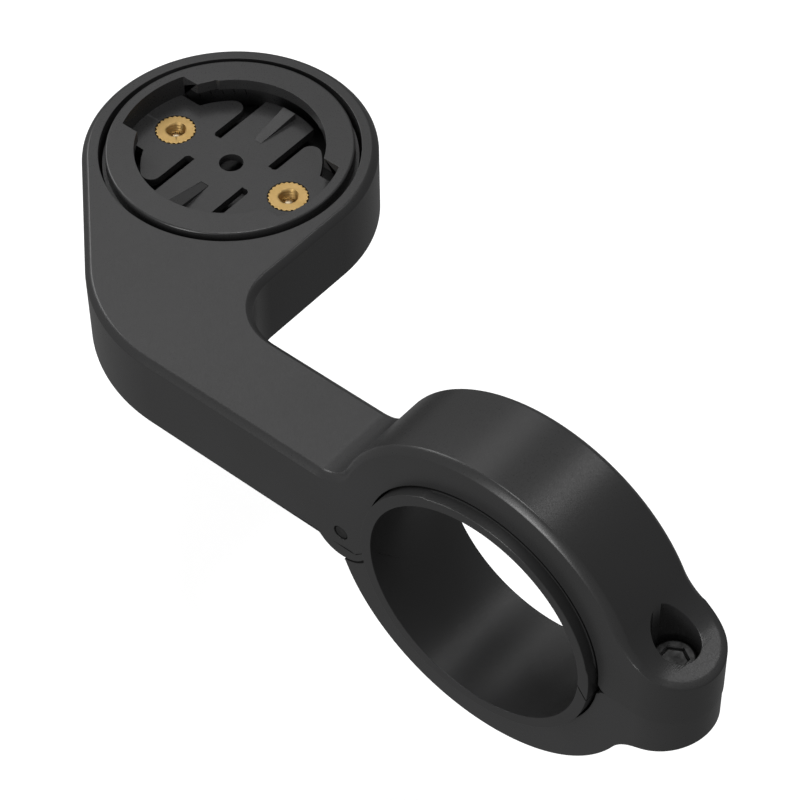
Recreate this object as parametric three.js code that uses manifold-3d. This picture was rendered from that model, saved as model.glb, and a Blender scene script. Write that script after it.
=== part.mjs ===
// Out-front handlebar mount for a cycling computer.
// Millimetres. Origin on the handlebar axis, in the middle of the clamp.
// X runs along the handlebar, Y forward to the head that carries the computer, Z up.

import * as THREE from 'three';
import { mergeVertices } from 'three/addons/utils/BufferGeometryUtils.js';
import Module from 'manifold-3d';

const wasm = await Module();
wasm.setup();

// ---------------------------------------------------------------- driving dimensions

// handlebar clamp
const BAR_RADIUS = 15.9;            // 31.8 mm handlebar
const SLEEVE_RADIUS = 17.5;         // outside of the sleeve, 35 mm seat
const SEAT_RADIUS = 17.75;
const CLAMP_RADIUS = 23.1;
const CLAMP_HALF = 6.6;             // half the width along the bar
const CLAMP_CHAMFER = 0.9;
const SLEEVE_NEAR = -8.15;          // the sleeve stands proud of both clamp faces
const SLEEVE_FAR = 7.15;
const SLIT_WIDTH = 0.35;
const SLIT_Z = -0.6;                // where the slanting slit meets the bore
const SLIT_TILT = THREE.MathUtils.degToRad(56);
const SLIT_OVERRUN = 1;

// split between the mount body and the jaw
const BODY_SPLIT_Z = -1.45;
const JAW_SPLIT_Z = -1.51;
const SPLIT_RELIEF = 1.3;           // open corner where the split meets the seat
const SPLIT_RELIEF_INTO_SEAT = 0.4;

// hinge at the front of the clamp
const PIN_Y = 22.1;
const PIN_Z = -3.45;
const PIN_RADIUS = 1.0;
const PIN_END_INSET = 0.1;
const LUG_BORE_CLEARANCE = 0.15;
const KNUCKLE_BORE_CLEARANCE = 0.25;
const LUG_RADIUS = 4.45;
const LUG_CLEARANCE = 0.27;
const TONGUE_HALF = 2.2;            // the jaw's knuckle between the two lugs
const TONGUE_RADIUS = 4.2;
const SIDE_CLEARANCE = 0.3;
const KNUCKLE_SLOT_Y = 15;          // the slot for the knuckle opens into the seat
const JAW_NECK_INSET = 1;           // the jaw's front end stays inside the ring and the pin

// boss at the back of the clamp, and its bolt
const BOSS_Y = -23.2;
const BOSS = {
  surfaceZ: 6.52,                   // height of the sloping face at BOSS_Y
  slope: THREE.MathUtils.degToRad(15),
  blend: 9.3,                       // radius of the hollow blend into the clamp ring
};
const EAR = {
  surfaceZ: 8,                      // the same for the ear's underside, measured downwards
  slope: THREE.MathUtils.degToRad(12),
  blend: 6,
};
const BOSS_EDGE_DEPTH = 0.2;        // the ring's chamfer flattens to this along the boss
const EAR_REACH = 6.45;             // the ear ends a little short of the boss
const BOLT_Y = -23.75;
const BOLT_HOLE_RADIUS = 1.75;
const COUNTERBORE_RADIUS = 3.05;
const COUNTERBORE_FLOOR_Z = -0.1;

// M3 hardware
const WASHER_RADIUS = 2.9;
const WASHER_HOLE_RADIUS = 1.6;
const WASHER_THICKNESS = 0.5;
const BOLT_HEAD_RADIUS = 2.7;
const BOLT_HEAD_HEIGHT = 2.6;
const BOLT_SOCKET_FLATS = 3.0;
const BOLT_SOCKET_DEPTH = 0.75;
const BOLT_LENGTH = 8;
const THREAD_CORE_RADIUS = 1.2;
const NUT_FLATS = 5.5;
const NUT_THICKNESS = 2.4;
const NUT_BORE_RADIUS = 1.5;
const NUT_POCKET_PLAY = 0.3;
const NUT_TOP_Z = -4.8;
const STACK_GAP = 0.05;             // play between pieces that rest on each other

// arm
const ARM_TOP_Z = 5.5;
const ARM_BOTTOM_Z = -6.1;
const ARM_CHAMFER = 0.9;
const ARM_UNDERSIDE_CHAMFER = 0.15;
const ARM_ROOT_Y = 19.5;
const ARM_OUTER_BEND = 25;
const ARM_INNER_BEND = 8;
const ARM_TO_CLAMP_BLEND = 5;

// head and the recess for the puck
const HEAD_X = 29.4;
const HEAD_Y = 72.3;
const HEAD_RADIUS = 20.05;
const RECESS_RADIUS = 17.75;
const RECESS_FLOOR_Z = -1.3;

// quarter-turn puck
const PUCK_TOP_Z = 5.9;
const PUCK_RADIUS = 16.85;
const PUCK_CHAMFER = 0.3;
const PUCK_SKIRT_RADIUS = 17.4;
const PUCK_SKIRT_TOP_Z = 3.7;
const PUCK_BOTTOM_Z = -1.0;
const LIP_RADIUS = 12.95;
const LIP_THICKNESS = 1.75;
const POCKET_RADIUS = 15.35;
const NOTCH_HALF = 6.05;
const FLOOR_TOP_Z = 2.6;
const FLOOR_THICKNESS = 1.2;
const FLOOR_RADIUS = 12.35;
const GAP_START_X = 5.7;            // the floor is free of the wall beyond this
const CENTRE_HOLE_RADIUS = 1.65;

// detent tongues, cut free of the floor by slots
const SLOT_Y = 5.0;
const SLOT_WIDTH = 1.3;
const SLOT_INNER_X = 3.2;           // centre of the slot's round inner end
const TONGUE_ROOT_X = 3.0;
const TONGUE_ROOT_GAP = 0.3;
const TONGUE_TIP_RADIUS = 12.8;
const RAMP_INNER_X = 5.3;
const RAMP_OUTER_X = 12.0;
const RAMP_START_HEIGHT = 0.02;
const RAMP_HEIGHT = 1.0;
const RAMP_INNER_HALF = 0.65;
const RAMP_OUTER_HALF = 1.1;

// threaded inserts and the screws that hold the puck
const INSERT_OFFSET_Y = 10.25;
const INSERT_RADIUS = 2.8;
const INSERT_TEETH = 20;
const INSERT_TOOTH_DEPTH = 0.2;
const INSERT_BOTTOM_Z = -0.9;
const INSERT_BORE_RADIUS = 1.45;
const INSERT_BOSS_RADIUS = 4.1;
const INSERT_CLEARANCE = 0.1;
const SCREW_HEAD_RADIUS = 2.75;
const SCREW_HEAD_HEIGHT = 1.9;
const SCREW_HEAD_BOTTOM_Z = -5.9;
const SCREW_SOCKET_FLATS = 2.0;
const SCREW_SOCKET_DEPTH = 1.0;
const SCREW_CORE_RADIUS = 1.15;
const SCREW_TIP_Z = 1.5;
const SCREW_HOLE_RADIUS = 1.75;
const SCREW_COUNTERBORE_RADIUS = 3.05;
const SCREW_SEAT_Z = SCREW_HEAD_BOTTOM_Z + SCREW_HEAD_HEIGHT + STACK_GAP;

const FACETS_LARGE = 96;
const FACETS_SMALL = 32;
const FAR = 60;                     // longer than anything it has to cut through
const OVERLAP = 0.3;                // how deep pieces of one body run into each other

// ---------------------------------------------------------------- shape helpers

/** Points of an arc from one angle to another, both ends included. */
function arc(x, y, radius, fromDeg, toDeg, steps) {
  const points = [];
  for (let i = 0; i <= steps; i += 1) {
    const a = THREE.MathUtils.degToRad(fromDeg + ((toDeg - fromDeg) * i) / steps);
    points.push([x + radius * Math.cos(a), y + radius * Math.sin(a)]);
  }
  return points;
}

/** Turns a three.js geometry into a manifold solid. */
function solid(geometry) {
  const bare = geometry.clone();
  bare.deleteAttribute('normal');
  bare.deleteAttribute('uv');
  const merged = mergeVertices(bare, 1e-5);
  return new wasm.Manifold(
    new wasm.Mesh({
      numProp: 3,
      vertProperties: new Float32Array(merged.attributes.position.array),
      triVerts: new Uint32Array(merged.index.array),
    }),
  );
}

/** Turns a manifold solid back into a three.js geometry. */
function geometryOf(body) {
  const mesh = body.getMesh();
  const geometry = new THREE.BufferGeometry();
  geometry.setAttribute('position', new THREE.BufferAttribute(mesh.vertProperties, 3));
  geometry.setIndex(new THREE.BufferAttribute(mesh.triVerts, 1));
  return geometry;
}

/**
 * Closed solid through a row of rings with equal point counts. Each ring is a list of
 * [x, y, z]; `flatten` gives the two coordinates in which the end caps are filled.
 */
function loft(rings, flatten) {
  const count = rings[0].length;
  const positions = rings.flat(2);
  const index = [];
  for (let r = 0; r + 1 < rings.length; r += 1) {
    for (let i = 0; i < count; i += 1) {
      const a = r * count + i;
      const b = r * count + ((i + 1) % count);
      index.push(a, b, b + count, a, b + count, a + count);
    }
  }
  [0, rings.length - 1].forEach((r) => {
    const contour = rings[r].map((p) => new THREE.Vector2(...flatten(p)));
    const faces = THREE.ShapeUtils.triangulateShape(contour, []);
    faces.forEach(([a, b, c]) => {
      const face = [a + r * count, b + r * count, c + r * count];
      index.push(...(r === 0 ? face.reverse() : face));
    });
  });
  const geometry = new THREE.BufferGeometry();
  geometry.setAttribute('position', new THREE.Float32BufferAttribute(positions, 3));
  geometry.setIndex(index);
  return solid(geometry);
}

/** Lofts outlines in the XY plane; levels are [z, outline], from the bottom up. */
function loftUp(levels) {
  const rings = levels.map(([z, outline]) => outline.map(([x, y]) => [x, y, z]));
  return loft(rings, ([x, y]) => [x, y]);
}

/** Lofts outlines in the YZ plane; stations are [x, outline], from -X to +X. */
function loftAcross(stations) {
  const rings = stations.map(([x, outline]) => outline.map(([y, z]) => [x, y, z]));
  return loft(rings, (p) => [p[1], p[2]]);
}

function cylinderUp(radius, z0, z1, x, y, facets = FACETS_SMALL) {
  const ring = arc(x, y, radius, 0, 360, facets).slice(0, -1);
  return loftUp([[z0, ring], [z1, ring]]);
}

function cylinderAcross(radius, x0, x1, y, z, facets = FACETS_SMALL) {
  const ring = arc(y, z, radius, 0, 360, facets).slice(0, -1);
  return loftAcross([[x0, ring], [x1, ring]]);
}

function block(x0, x1, y0, y1, z0, z1) {
  const ring = [[x0, y0], [x1, y0], [x1, y1], [x0, y1]];
  return loftUp([[z0, ring], [z1, ring]]);
}

function hexUp(flats, z0, z1, x, y) {
  const ring = arc(x, y, flats / Math.sqrt(3), 0, 360, 6).slice(0, -1);
  return loftUp([[z0, ring], [z1, ring]]);
}

function joined(...bodies) {
  return bodies.reduce((all, next) => all.add(next));
}

// ---------------------------------------------------------------- mount body

/** Plan of the arm and head, drawn anticlockwise, pulled in by `inset` all round. */
function armOutline(inset) {
  const wall = CLAMP_HALF - inset;
  const outerX = ARM_OUTER_BEND - CLAMP_HALF;
  const tangent = (HEAD_Y - HEAD_X) / Math.SQRT2 + HEAD_RADIUS;
  const outerY = (tangent - ARM_OUTER_BEND) * Math.SQRT2 + outerX;
  const innerX = CLAMP_HALF + ARM_INNER_BEND;
  const innerY = HEAD_Y - HEAD_RADIUS - ARM_INNER_BEND;
  const points = [
    [-wall, ARM_ROOT_Y],
    ...arc(outerX, outerY, ARM_OUTER_BEND - inset, 180, 135, 12),
    ...arc(HEAD_X, HEAD_Y, HEAD_RADIUS - inset, 135, -90, 60),
    ...arc(innerX, innerY, ARM_INNER_BEND + inset, 90, 180, 14),
    [wall, ARM_ROOT_Y],
  ];
  return points.reverse();
}

function armAndHead() {
  return loftUp([
    [ARM_BOTTOM_Z, armOutline(ARM_UNDERSIDE_CHAMFER)],
    [ARM_BOTTOM_Z + ARM_UNDERSIDE_CHAMFER, armOutline(0)],
    [ARM_TOP_Z - ARM_CHAMFER, armOutline(0)],
    [ARM_TOP_Z, armOutline(ARM_CHAMFER)],
  ]);
}

/**
 * Centre of the hollow blend between the clamp ring and a boss's sloping face, which falls
 * towards the back. Z is taken away from the split, so upward for the boss on top.
 */
function blendCentre(boss) {
  const along = [Math.cos(boss.slope), Math.sin(boss.slope)];
  const normal = [-along[1], along[0]];
  const offset = normal[0] * BOSS_Y + normal[1] * boss.surfaceZ + boss.blend;
  const reach = Math.sqrt((CLAMP_RADIUS + boss.blend) ** 2 - offset ** 2);
  return [offset * normal[0] - reach * along[0], offset * normal[1] - reach * along[1]];
}

/**
 * Back of the ring, its hollow blend and the sloping face of a boss, going backwards, all
 * taken below the surface: by `inset` on the ring, falling to `endInset` at the boss.
 */
function ringToBoss(boss, fromDeg, inset, endInset) {
  const steps = 12;
  const [cy, cz] = blendCentre(boss);
  const centreDeg = THREE.MathUtils.radToDeg(Math.atan2(cz, cy));
  const endDeg = THREE.MathUtils.radToDeg(boss.slope) - 90;
  const blend = [];
  for (let i = 1; i <= steps; i += 1) {
    const depth = inset + ((endInset - inset) * i) / steps;
    const angle = centreDeg - 180 + ((endDeg - centreDeg + 180) * i) / steps;
    blend.push(arc(cy, cz, boss.blend + depth, angle, angle, 1)[0]);
  }
  const endY = BOSS_Y - CLAMP_HALF - 1;
  const drop = (BOSS_Y - endY) * Math.tan(boss.slope) + endInset / Math.cos(boss.slope);
  return [
    ...arc(0, 0, CLAMP_RADIUS - inset, fromDeg, centreDeg, 36),
    ...blend,
    [endY, boss.surfaceZ - drop],
  ];
}

/** Side view of the clamp's fixed upper half, with its root in the arm. */
function upperClampOutline(inset, bossInset) {
  const rootY = PIN_Y + 10;
  const blendZ = ARM_TOP_Z + ARM_TO_CLAMP_BLEND;
  const blendY = Math.sqrt((CLAMP_RADIUS + ARM_TO_CLAMP_BLEND) ** 2 - blendZ ** 2);
  const blendDeg = THREE.MathUtils.radToDeg(Math.atan2(blendZ, blendY));
  const lugDrop = PIN_Z - (ARM_BOTTOM_Z + ARM_UNDERSIDE_CHAMFER);
  const lugDeg = -THREE.MathUtils.radToDeg(Math.asin(lugDrop / LUG_RADIUS));
  const back = ringToBoss(BOSS, blendDeg, inset, bossInset);
  return [
    [rootY, ARM_TOP_Z - inset],
    ...arc(blendY, blendZ, ARM_TO_CLAMP_BLEND + inset, -90, blendDeg - 180, 8),
    ...back.slice(1),
    [back[back.length - 1][0], BODY_SPLIT_Z],
    [PIN_Y - LUG_RADIUS, BODY_SPLIT_Z],
    ...arc(PIN_Y, PIN_Z, LUG_RADIUS, 180, 360 + lugDeg, 18),
    [rootY, ARM_BOTTOM_Z + ARM_UNDERSIDE_CHAMFER],
  ];
}

/** Vertical prism that rounds off the back of the clamp in plan, `reach` behind BOSS_Y. */
function roundedBack(reach) {
  const end = arc(0, 0, 1, 180, 360, 28);
  const ring = [
    ...end.map(([x, y]) => [x * CLAMP_HALF, BOSS_Y + y * reach]),
    [CLAMP_HALF + 1, BOSS_Y + 1],
    [CLAMP_HALF + 1, FAR],
    [-CLAMP_HALF - 1, FAR],
    [-CLAMP_HALF - 1, BOSS_Y + 1],
  ];
  return loftUp([[-FAR, ring], [FAR, ring]]);
}

/** Triangular relief that opens the inner corner of the split at the seat. */
function splitRelief() {
  const middle = (BODY_SPLIT_Z + JAW_SPLIT_Z) / 2;
  const mouthY = -SEAT_RADIUS + SPLIT_RELIEF_INTO_SEAT;
  const ring = [
    [-SEAT_RADIUS - SPLIT_RELIEF, middle],
    [mouthY, middle - SPLIT_RELIEF],
    [mouthY, middle + SPLIT_RELIEF],
  ];
  return loftAcross([[-FAR, ring], [FAR, ring]]);
}

function makeMountBody() {
  const clamp = loftAcross([
    [-CLAMP_HALF, upperClampOutline(CLAMP_CHAMFER, BOSS_EDGE_DEPTH)],
    [-CLAMP_HALF + CLAMP_CHAMFER, upperClampOutline(0, 0)],
    [CLAMP_HALF - CLAMP_CHAMFER, upperClampOutline(0, 0)],
    [CLAMP_HALF, upperClampOutline(CLAMP_CHAMFER, BOSS_EDGE_DEPTH)],
  ]);
  const slotHalf = TONGUE_HALF + SIDE_CLEARANCE;
  const slotRadius = LUG_RADIUS + 2 * LUG_CLEARANCE;
  let body = joined(clamp.intersect(roundedBack(CLAMP_HALF)), armAndHead());
  body = body.subtract(cylinderAcross(SEAT_RADIUS, -FAR, FAR, 0, 0, FACETS_LARGE));
  body = body.subtract(splitRelief());
  body = body.subtract(cylinderAcross(slotRadius, -slotHalf, slotHalf, PIN_Y, PIN_Z));
  body = body.subtract(block(-slotHalf, slotHalf, KNUCKLE_SLOT_Y, PIN_Y, -FAR, PIN_Z));
  body = body.subtract(cylinderAcross(PIN_RADIUS + LUG_BORE_CLEARANCE, -FAR, FAR, PIN_Y, PIN_Z));
  body = body.subtract(cylinderUp(BOLT_HOLE_RADIUS, -FAR, FAR, 0, BOLT_Y));
  body = body.subtract(cylinderUp(COUNTERBORE_RADIUS, COUNTERBORE_FLOOR_Z, FAR, 0, BOLT_Y));
  body = body.subtract(
    cylinderUp(RECESS_RADIUS, RECESS_FLOOR_Z, FAR, HEAD_X, HEAD_Y, FACETS_LARGE),
  );
  [-1, 1].forEach((side) => {
    const y = HEAD_Y + side * INSERT_OFFSET_Y;
    body = body.subtract(cylinderUp(SCREW_HOLE_RADIUS, -FAR, FAR, HEAD_X, y));
    body = body.subtract(cylinderUp(SCREW_COUNTERBORE_RADIUS, -FAR, SCREW_SEAT_Z, HEAD_X, y));
  });
  return geometryOf(body);
}

// ---------------------------------------------------------------- jaw

/** Side view of the jaw: the ring's lower half and the ear, up to the split. */
function jawOutline() {
  const back = ringToBoss(EAR, 0, 0, 0).map(([y, z]) => [y, -z]);
  const rearY = back[back.length - 1][0];
  return [
    ...back.filter(([, z]) => z <= PIN_Z).reverse(),
    [PIN_Y - JAW_NECK_INSET, PIN_Z],
    [SEAT_RADIUS - JAW_NECK_INSET, PIN_Z],
    [SEAT_RADIUS - 2 * JAW_NECK_INSET, JAW_SPLIT_Z],
    [rearY, JAW_SPLIT_Z],
  ];
}

function makeJaw() {
  const outline = jawOutline();
  const pinBore = PIN_RADIUS + KNUCKLE_BORE_CLEARANCE;
  const full = loftAcross([[-CLAMP_HALF, outline], [CLAMP_HALF, outline]]);
  const plan = roundedBack(EAR_REACH);
  const whole = full.intersect(plan);
  const lugRoom = cylinderAcross(LUG_RADIUS + LUG_CLEARANCE, -FAR, FAR, PIN_Y, PIN_Z, 48);
  const middle = block(-TONGUE_HALF, TONGUE_HALF, 0, FAR, -FAR, FAR);
  const knuckle = cylinderAcross(TONGUE_RADIUS, -TONGUE_HALF, TONGUE_HALF, PIN_Y, PIN_Z);
  let jaw = joined(whole.subtract(lugRoom), whole.intersect(middle), knuckle);
  jaw = jaw.subtract(cylinderAcross(SEAT_RADIUS, -FAR, FAR, 0, 0, FACETS_LARGE));
  jaw = jaw.subtract(splitRelief());
  jaw = jaw.subtract(cylinderAcross(pinBore, -FAR, FAR, PIN_Y, PIN_Z));
  jaw = jaw.subtract(cylinderUp(BOLT_HOLE_RADIUS, -FAR, FAR, 0, BOLT_Y));
  jaw = jaw.subtract(hexUp(NUT_FLATS + NUT_POCKET_PLAY, -FAR, NUT_TOP_Z + STACK_GAP, 0, BOLT_Y));
  return geometryOf(jaw);
}

// ---------------------------------------------------------------- clamp hardware

function makeHingePin() {
  const end = CLAMP_HALF - PIN_END_INSET;
  return geometryOf(cylinderAcross(PIN_RADIUS, -end, end, PIN_Y, PIN_Z));
}

function makeSleeve() {
  const along = new THREE.Vector2(-Math.cos(SLIT_TILT), -Math.sin(SLIT_TILT));
  const across = new THREE.Vector2(-along.y, along.x).multiplyScalar(SLIT_WIDTH / 2);
  const start = new THREE.Vector2(-BAR_RADIUS, SLIT_Z).addScaledVector(along, -SLIT_OVERRUN);
  const end = start.clone().addScaledVector(along, SLEEVE_RADIUS - BAR_RADIUS + 4 * SLIT_OVERRUN);
  const slit = [
    start.clone().sub(across),
    end.clone().sub(across),
    end.clone().add(across),
    start.clone().add(across),
  ].map((p) => [p.x, p.y]);
  const outside = cylinderAcross(SLEEVE_RADIUS, SLEEVE_NEAR, SLEEVE_FAR, 0, 0, FACETS_LARGE);
  const bore = cylinderAcross(BAR_RADIUS, -FAR, FAR, 0, 0, FACETS_LARGE);
  return geometryOf(outside.subtract(bore).subtract(loftAcross([[-FAR, slit], [FAR, slit]])));
}

const WASHER_BOTTOM_Z = COUNTERBORE_FLOOR_Z + STACK_GAP;
const BOLT_SEAT_Z = WASHER_BOTTOM_Z + WASHER_THICKNESS + STACK_GAP;

function makeWasher() {
  const top = WASHER_BOTTOM_Z + WASHER_THICKNESS;
  const disc = cylinderUp(WASHER_RADIUS, WASHER_BOTTOM_Z, top, 0, BOLT_Y);
  return geometryOf(disc.subtract(cylinderUp(WASHER_HOLE_RADIUS, -FAR, FAR, 0, BOLT_Y)));
}

function makeBolt() {
  const top = BOLT_SEAT_Z + BOLT_HEAD_HEIGHT;
  const socket = hexUp(BOLT_SOCKET_FLATS, top - BOLT_SOCKET_DEPTH, top + 1, 0, BOLT_Y);
  const head = cylinderUp(BOLT_HEAD_RADIUS, BOLT_SEAT_Z, top, 0, BOLT_Y);
  const tip = BOLT_SEAT_Z - BOLT_LENGTH;
  const shank = cylinderUp(THREAD_CORE_RADIUS, tip, BOLT_SEAT_Z + OVERLAP, 0, BOLT_Y);
  return geometryOf(joined(head, shank).subtract(socket));
}

function makeNut() {
  const nut = hexUp(NUT_FLATS, NUT_TOP_Z - NUT_THICKNESS, NUT_TOP_Z, 0, BOLT_Y);
  return geometryOf(nut.subtract(cylinderUp(NUT_BORE_RADIUS, -FAR, FAR, 0, BOLT_Y)));
}

// ---------------------------------------------------------------- quarter-turn puck

const FLOOR_BOTTOM_Z = FLOOR_TOP_Z - FLOOR_THICKNESS;

function puckCylinder(radius, z0, z1, facets = FACETS_LARGE) {
  return cylinderUp(radius, z0, z1, HEAD_X, HEAD_Y, facets);
}

/** Opening between the two lips, with the two notches that let the tabs in. */
function puckOpening() {
  const notches = block(
    HEAD_X - NOTCH_HALF, HEAD_X + NOTCH_HALF, HEAD_Y - FAR, HEAD_Y + FAR, FLOOR_TOP_Z, FAR,
  ).intersect(puckCylinder(POCKET_RADIUS, FLOOR_TOP_Z, FAR));
  const throat = puckCylinder(LIP_RADIUS, FLOOR_TOP_Z, FAR);
  const groove = puckCylinder(POCKET_RADIUS, FLOOR_TOP_Z, PUCK_TOP_Z - LIP_THICKNESS);
  return joined(notches, throat, groove);
}

/** One half of the floor's free edge, its slots and the room for its tongue. */
function floorCut(side) {
  const edge = puckCylinder(POCKET_RADIUS, -FAR, FAR)
    .subtract(puckCylinder(FLOOR_RADIUS, -FAR, FAR));
  const gapX = HEAD_X + side * GAP_START_X;
  const farX = HEAD_X + side * FAR;
  const sector = block(
    Math.min(gapX, farX), Math.max(gapX, farX), HEAD_Y - FAR, HEAD_Y + FAR,
    FLOOR_BOTTOM_Z, FLOOR_TOP_Z + OVERLAP,
  );
  let cut = edge.intersect(sector);
  [-1, 1].forEach((way) => {
    const y = HEAD_Y + way * SLOT_Y;
    const startX = HEAD_X + side * SLOT_INNER_X;
    const endX = HEAD_X + side * FLOOR_RADIUS;
    cut = cut.add(cylinderUp(
      SLOT_WIDTH / 2, FLOOR_BOTTOM_Z, FLOOR_TOP_Z + OVERLAP, startX, y, 16,
    ));
    cut = cut.add(block(
      Math.min(startX, endX), Math.max(startX, endX),
      y - SLOT_WIDTH / 2, y + SLOT_WIDTH / 2, FLOOR_BOTTOM_Z, FLOOR_TOP_Z + OVERLAP,
    ));
  });
  const rootX = HEAD_X + side * (TONGUE_ROOT_X - TONGUE_ROOT_GAP);
  const tipX = HEAD_X + side * FLOOR_RADIUS;
  return cut.add(block(
    Math.min(rootX, tipX), Math.max(rootX, tipX),
    HEAD_Y - SLOT_Y, HEAD_Y + SLOT_Y, FLOOR_BOTTOM_Z, FLOOR_TOP_Z + OVERLAP,
  ));
}

function makePuck() {
  const ring = arc(HEAD_X, HEAD_Y, PUCK_RADIUS, 0, 360, FACETS_LARGE).slice(0, -1);
  const topRing = arc(HEAD_X, HEAD_Y, PUCK_RADIUS - PUCK_CHAMFER, 0, 360, FACETS_LARGE);
  const disc = loftUp([
    [PUCK_SKIRT_TOP_Z - 1, ring],
    [PUCK_TOP_Z - PUCK_CHAMFER, ring],
    [PUCK_TOP_Z, topRing.slice(0, -1)],
  ]);
  const skirt = puckCylinder(PUCK_SKIRT_RADIUS, PUCK_BOTTOM_Z, PUCK_SKIRT_TOP_Z);
  const insertY = [-1, 1].map((side) => HEAD_Y + side * INSERT_OFFSET_Y);
  const bosses = insertY.map(
    (y) => cylinderUp(INSERT_BOSS_RADIUS, PUCK_BOTTOM_Z, FLOOR_BOTTOM_Z + OVERLAP, HEAD_X, y),
  );
  let puck = joined(disc, skirt).subtract(puckCylinder(POCKET_RADIUS, -FAR, FLOOR_BOTTOM_Z));
  puck = puck.subtract(puckOpening());
  puck = puck.subtract(floorCut(-1));
  puck = puck.subtract(floorCut(1));
  puck = puck.subtract(cylinderUp(CENTRE_HOLE_RADIUS, -FAR, FAR, HEAD_X, HEAD_Y, 24));
  puck = joined(puck, ...bosses);
  insertY.forEach((y) => {
    const hole = INSERT_RADIUS + INSERT_CLEARANCE;
    puck = puck.subtract(cylinderUp(hole, -FAR, FAR, HEAD_X, y));
  });
  return geometryOf(puck);
}

/** Springy tongue of the puck's floor with its ramp; side is +1 or -1 along X. */
function makeTongue(side) {
  const half = SLOT_Y - SLOT_WIDTH / 2;
  const blank = block(TONGUE_ROOT_X, FAR, -half, half, FLOOR_BOTTOM_Z, FLOOR_TOP_Z);
  const reach = cylinderUp(TONGUE_TIP_RADIUS, -FAR, FAR, 0, 0, FACETS_LARGE);
  const ramp = loft([
    [
      [RAMP_INNER_X, -RAMP_INNER_HALF, FLOOR_TOP_Z - OVERLAP],
      [RAMP_INNER_X, RAMP_INNER_HALF, FLOOR_TOP_Z - OVERLAP],
      [RAMP_INNER_X, RAMP_INNER_HALF, FLOOR_TOP_Z + RAMP_START_HEIGHT],
      [RAMP_INNER_X, -RAMP_INNER_HALF, FLOOR_TOP_Z + RAMP_START_HEIGHT],
    ],
    [
      [RAMP_OUTER_X, -RAMP_OUTER_HALF, FLOOR_TOP_Z - OVERLAP],
      [RAMP_OUTER_X, RAMP_OUTER_HALF, FLOOR_TOP_Z - OVERLAP],
      [RAMP_OUTER_X, RAMP_OUTER_HALF, FLOOR_TOP_Z + RAMP_HEIGHT],
      [RAMP_OUTER_X, -RAMP_OUTER_HALF, FLOOR_TOP_Z + RAMP_HEIGHT],
    ],
  ], (p) => [p[1], p[2]]);
  const tongue = joined(blank.intersect(reach), ramp);
  return geometryOf(tongue.rotate([0, 0, side > 0 ? 0 : 180]).translate([HEAD_X, HEAD_Y, 0]));
}

// ---------------------------------------------------------------- inserts and screws

function makeInsert(side) {
  const y = HEAD_Y + side * INSERT_OFFSET_Y;
  const ring = [];
  for (let i = 0; i < INSERT_TEETH * 2; i += 1) {
    const radius = INSERT_RADIUS - (i % 2) * INSERT_TOOTH_DEPTH;
    const a = (Math.PI * i) / INSERT_TEETH;
    ring.push([HEAD_X + radius * Math.cos(a), y + radius * Math.sin(a)]);
  }
  const barrel = loftUp([[INSERT_BOTTOM_Z, ring], [FLOOR_TOP_Z, ring]]);
  return geometryOf(barrel.subtract(cylinderUp(INSERT_BORE_RADIUS, -FAR, FAR, HEAD_X, y, 24)));
}

function makePuckScrew(side) {
  const y = HEAD_Y + side * INSERT_OFFSET_Y;
  const top = SCREW_HEAD_BOTTOM_Z + SCREW_HEAD_HEIGHT;
  const head = cylinderUp(SCREW_HEAD_RADIUS, SCREW_HEAD_BOTTOM_Z, top, HEAD_X, y);
  const shank = cylinderUp(SCREW_CORE_RADIUS, top - OVERLAP, SCREW_TIP_Z, HEAD_X, y);
  const socketTop = SCREW_HEAD_BOTTOM_Z + SCREW_SOCKET_DEPTH;
  const socket = hexUp(SCREW_SOCKET_FLATS, SCREW_HEAD_BOTTOM_Z - 1, socketTop, HEAD_X, y);
  return geometryOf(joined(head, shank).subtract(socket));
}

// ---------------------------------------------------------------- materials and assembly

const finish = {
  mouldedBlack: { color: 0x1d1d1e, roughness: 0.5, metalness: 0 },
  sleeveBlack: { color: 0x242425, roughness: 0.6, metalness: 0 },
  blackSteel: { color: 0x2a2a2b, roughness: 0.4, metalness: 0.9 },
  brightSteel: { color: 0x9a9a9c, roughness: 0.3, metalness: 1 },
  brass: { color: 0xcfa55e, roughness: 0.35, metalness: 1 },
};

const assembly = new THREE.Group();

function addPiece(name, geometry, look) {
  const shown = geometry.toNonIndexed();
  shown.computeVertexNormals();
  const mesh = new THREE.Mesh(shown, new THREE.MeshStandardMaterial(look));
  mesh.name = name;
  assembly.add(mesh);
}

addPiece('mount_body', makeMountBody(), finish.mouldedBlack);
addPiece('clamp_jaw', makeJaw(), finish.mouldedBlack);
addPiece('hinge_pin', makeHingePin(), finish.blackSteel);
addPiece('bar_sleeve', makeSleeve(), finish.sleeveBlack);
addPiece('bolt_washer', makeWasher(), finish.blackSteel);
addPiece('clamp_bolt', makeBolt(), finish.blackSteel);
addPiece('clamp_nut', makeNut(), finish.brightSteel);
addPiece('quarter_turn_puck', makePuck(), finish.mouldedBlack);
addPiece('detent_tongue_right', makeTongue(1), finish.mouldedBlack);
addPiece('detent_tongue_left', makeTongue(-1), finish.mouldedBlack);
addPiece('threaded_insert_front', makeInsert(1), finish.brass);
addPiece('threaded_insert_rear', makeInsert(-1), finish.brass);
addPiece('puck_screw_front', makePuckScrew(1), finish.brightSteel);
addPiece('puck_screw_rear', makePuckScrew(-1), finish.brightSteel);

export default assembly;
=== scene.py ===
"""Studio scene of an out-front handlebar mount for a cycling computer."""

import math

import bmesh
import bpy
from mathutils import Matrix, Vector


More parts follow.
